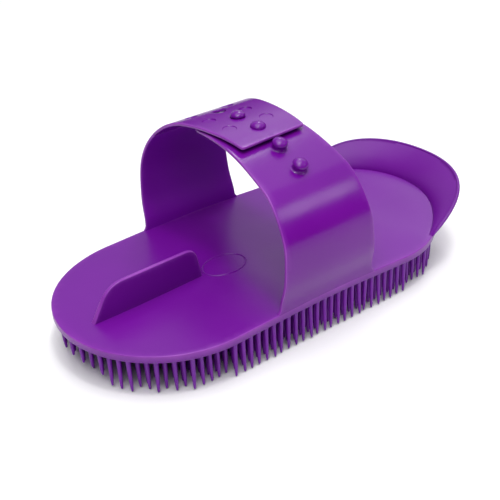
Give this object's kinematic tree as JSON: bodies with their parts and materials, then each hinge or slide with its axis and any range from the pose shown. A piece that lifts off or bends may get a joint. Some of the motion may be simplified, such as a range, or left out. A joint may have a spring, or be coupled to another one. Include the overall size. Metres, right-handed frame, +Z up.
{
  "type": "curry comb",
  "caption": "Hand-held plastic curry comb: oval toothed plate, raised toe lip, finger rib and an adjustable hand strap that snaps over studs.",
  "frame": {"origin": "tip of the middle tooth, in the plane of all the tips", "axes": "+X along the plate towards the toe lip, +Y across towards the flap's strap, +Z up"},
  "size_m": [0.1868, 0.0948, 0.0775],
  "materials": {
    "plate": "glossy purple, moulded",
    "badge": "glossy purple, raised in the moulding",
    "strap": "glossy purple, flexible",
    "stud": "glossy purple, flexible",
    "teeth": "glossy purple, soft and slightly worn at the tips"
  },
  "bodies": {
    "comb": {"base_plate": "plate", "toe_lip": "plate", "finger_rib": "plate", "blank_badge": "badge", "near_strap_root": "strap", "far_strap_root": "strap", "tooth_row_01": "teeth", "tooth_row_02": "teeth", "tooth_row_03": "teeth", "tooth_row_04": "teeth", "tooth_row_05": "teeth", "tooth_row_06": "teeth", "tooth_row_07": "teeth", "tooth_row_08": "teeth", "tooth_row_09": "teeth", "tooth_row_10": "teeth", "tooth_row_11": "teeth", "tooth_row_12": "teeth", "tooth_row_13": "teeth", "tooth_row_14": "teeth", "tooth_row_15": "teeth", "tooth_row_16": "teeth", "tooth_row_17": "teeth", "tooth_row_18": "teeth", "tooth_row_19": "teeth", "tooth_row_20": "teeth", "tooth_row_21": "teeth", "tooth_row_22": "teeth", "tooth_row_23": "teeth", "tooth_row_24": "teeth", "tooth_row_25": "teeth"},
    "near_strap": {"near_strap": "strap", "snap_stud_1": "stud", "snap_stud_2": "stud", "snap_stud_3": "stud", "snap_stud_4": "stud"},
    "far_strap": {"far_strap": "strap"},
    "flap": {"strap_flap": "strap"}
  },
  "joints": [
    {"name": "flap_peel", "type": "hinge", "parent": "far_strap", "child": "flap", "pos_m": [0, 0.02854, 0.06994], "axis": [-1, 0, 0], "range_deg": [0, 80], "deforming": ["snap_stud_1", "snap_stud_2"]},
    {"name": "far_strap_spread", "type": "hinge", "parent": "comb", "child": "far_strap", "pos_m": [0, 0.0444, 0.0209], "axis": [-1, 0, 0], "range_deg": [0, 20]},
    {"name": "near_strap_spread", "type": "hinge", "parent": "comb", "child": "near_strap", "pos_m": [0, -0.0444, 0.0209], "axis": [1, 0, 0], "range_deg": [0, 12]}
  ],
  "couplings": [
    {"joint": "far_strap_spread", "follows": "flap_peel", "ratio": 0.25},
    {"joint": "near_strap_spread", "follows": "flap_peel", "ratio": 0.15}
  ]
}
